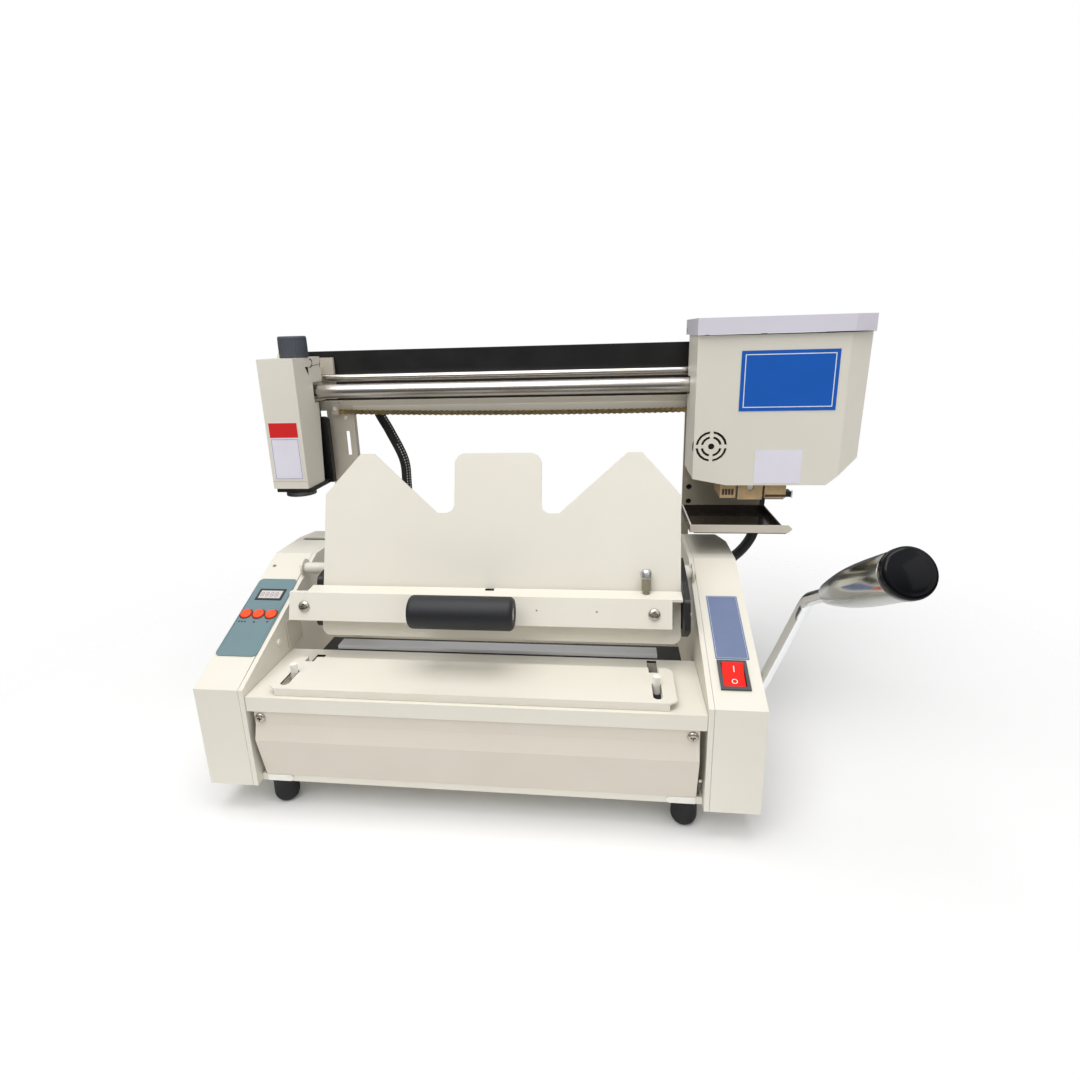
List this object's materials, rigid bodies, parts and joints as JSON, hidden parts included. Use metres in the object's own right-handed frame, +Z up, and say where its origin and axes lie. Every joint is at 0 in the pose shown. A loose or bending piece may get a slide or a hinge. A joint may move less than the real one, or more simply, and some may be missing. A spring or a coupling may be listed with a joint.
{
  "type": "hot-glue book binder",
  "caption": "Tabletop hot-glue book binder with a flipping book clamp, sliding glue and cutter heads on rails, a lever-driven nip table and sloped control housings.",
  "frame": {"origin": "middle of the part's outline, on the surface its feet stand on", "axes": "+Z up, +Y to the back, +X to the side with the lever and the glue head"},
  "size_m": [0.64, 0.3724, 0.4408],
  "materials": {
    "body_white": "warm off-white fine-textured powder coat",
    "frame_beige": "beige powder coat",
    "lid_paint": "smooth pale grey paint",
    "overlay_film": "matte grey-green printed film",
    "display_frame": "grey frame with a dark window",
    "button_orange": "glossy orange",
    "black_metal": "satin black paint",
    "black_plastic": "moulded black",
    "foot_rubber": "matte black rubber",
    "grip_foam": "black foam sleeve",
    "bright_chrome": "polished chrome",
    "bright_steel": "zinc-plated and turned steel",
    "chain_brass": "oiled brass-coloured roller chain",
    "knob_slate": "dark slate knurled plastic",
    "rocker_red": "glossy translucent red",
    "applicator_amber": "amber-brown coated brass",
    "pot_aluminium": "cast aluminium",
    "nylon_white": "white nylon",
    "tray_dark": "glossy brown-black",
    "cable_black": "black sheath"
  },
  "bodies": {
    "base": {"base_tray": "body_white", "left_side_plate": "body_white", "right_side_plate": "body_white", "left_housing_cover": "body_white", "right_housing_cover": "body_white", "front_panel": "body_white", "deck_plate": "body_white", "rear_panel": "body_white", "foot_front_left": "foot_rubber", "foot_front_right": "foot_rubber", "foot_rear_left": "foot_rubber", "foot_rear_right": "foot_rubber", "rear_jaw": "black_metal", "nip_strip": "body_white", "control_overlay": "overlay_film", "display_module": "display_frame", "switch_bezel": "black_plastic", "mains_inlet": "black_plastic", "left_post": "frame_beige", "right_post": "frame_beige", "drip_tray": "tray_dark", "cross_beam": "frame_beige", "cable_channel": "black_metal", "left_rail_bracket": "frame_beige", "right_rail_bracket": "frame_beige", "front_rail": "bright_chrome", "rear_rail": "bright_chrome", "drive_chain": "chain_brass", "left_cable": "cable_black", "right_cable": "cable_black"},
    "clamp": {"clamp_plate": "body_white", "clamp_arm_left": "black_metal", "clamp_arm_right": "black_metal", "pivot_disc_right": "nylon_white"},
    "clamp_jaw": {"clamp_bar": "body_white", "clamp_handle_core": "bright_steel", "clamp_handle_grip": "grip_foam", "stop_pin": "bright_chrome"},
    "glue_head": {"glue_head_cover": "body_white", "glue_carriage": "black_metal", "glue_pot": "pot_aluminium", "applicator_blocks": "applicator_amber"},
    "lid": {"glue_lid": "lid_paint"},
    "roller": {"glue_roller": "bright_steel"},
    "sprocket": {"glue_sprocket": "bright_steel"},
    "cutter_head": {"cutter_cover": "body_white", "cutter_carriage": "frame_beige", "cutter_base": "black_metal"},
    "disc": {"cutter_disc": "bright_steel"},
    "knob": {"cutter_knob": "knob_slate"},
    "lever": {"lever_shaft": "bright_steel", "lever_rod": "bright_chrome", "lever_grip": "bright_chrome", "lever_cap": "black_plastic"},
    "table": {"nip_table": "body_white"},
    "power_rocker": {"rocker": "rocker_red"},
    "key_left": {"button_left": "button_orange"},
    "key_middle": {"button_middle": "button_orange"},
    "key_right": {"button_right": "button_orange"}
  },
  "joints": [
    {"name": "clamp_flip", "type": "hinge", "parent": "base", "child": "clamp", "pos_m": [-0.058, 0.03022, 0.194], "axis": [1, 0, 0], "range_deg": [-161.75, 18.25]},
    {"name": "clamp_open", "type": "slide", "parent": "clamp", "child": "clamp_jaw", "axis": [0, -0.9497, 0.3132], "range_m": [0, 0.04]},
    {"name": "glue_head_slide", "type": "slide", "parent": "base", "child": "glue_head", "axis": [1, 0, 0], "range_m": [-0.4, 0]},
    {"name": "sprocket_spin", "type": "hinge", "parent": "glue_head", "child": "sprocket", "pos_m": [0.2075, 0.14262, 0.326], "axis": [0, 1, 0], "range_deg": [-10, 1760]},
    {"name": "roller_spin", "type": "hinge", "parent": "glue_head", "child": "roller", "pos_m": [0.2075, 0.09222, 0.2732], "axis": [0, 1, 0], "range_deg": [-1710, 10]},
    {"name": "glue_lid_hinge", "type": "hinge", "parent": "glue_head", "child": "lid", "pos_m": [0.228, 0.15522, 0.43], "axis": [-1, 0, 0], "range_deg": [0, 100]},
    {"name": "cutter_head_slide", "type": "slide", "parent": "base", "child": "cutter_head", "axis": [1, 0, 0], "range_m": [0, 0.4]},
    {"name": "cutter_spin", "type": "hinge", "parent": "cutter_head", "child": "disc", "pos_m": [-0.29, 0.09622, 0.263], "axis": [0, 0, 1], "continuous": true},
    {"name": "cutter_knob_turn", "type": "hinge", "parent": "cutter_head", "child": "knob", "pos_m": [-0.285, 0.10922, 0.424], "axis": [0, 0, 1], "range_deg": [-180, 180]},
    {"name": "lever_press", "type": "hinge", "parent": "base", "child": "lever", "pos_m": [-0.058, -0.00278, 0.0874], "axis": [1, 0, 0], "range_deg": [0, 40]},
    {"name": "table_slide", "type": "slide", "parent": "base", "child": "table", "axis": [0, 1, 0], "range_m": [0, 0.018]},
    {"name": "rocker_tilt", "type": "hinge", "parent": "base", "child": "power_rocker", "pos_m": [0.1709, -0.08235, 0.14419], "axis": [-1, 0, 0], "range_deg": [0, 20]},
    {"name": "button_left_press", "type": "slide", "parent": "base", "child": "key_left", "axis": [0, 0.3783, -0.9257], "range_m": [0, 0.0015], "stiffness_N_per_m": 400},
    {"name": "button_middle_press", "type": "slide", "parent": "base", "child": "key_middle", "axis": [0, 0.3783, -0.9257], "range_m": [0, 0.0015], "stiffness_N_per_m": 400},
    {"name": "button_right_press", "type": "slide", "parent": "base", "child": "key_right", "axis": [0, 0.3783, -0.9257], "range_m": [0, 0.0015], "stiffness_N_per_m": 400}
  ],
  "couplings": [
    {"joint": "sprocket_spin", "follows": "glue_head_slide", "rad_per_m": -75.8},
    {"joint": "roller_spin", "follows": "glue_head_slide", "rad_per_m": 74},
    {"joint": "table_slide", "follows": "lever_press", "m_per_rad": 0.02578}
  ]
}
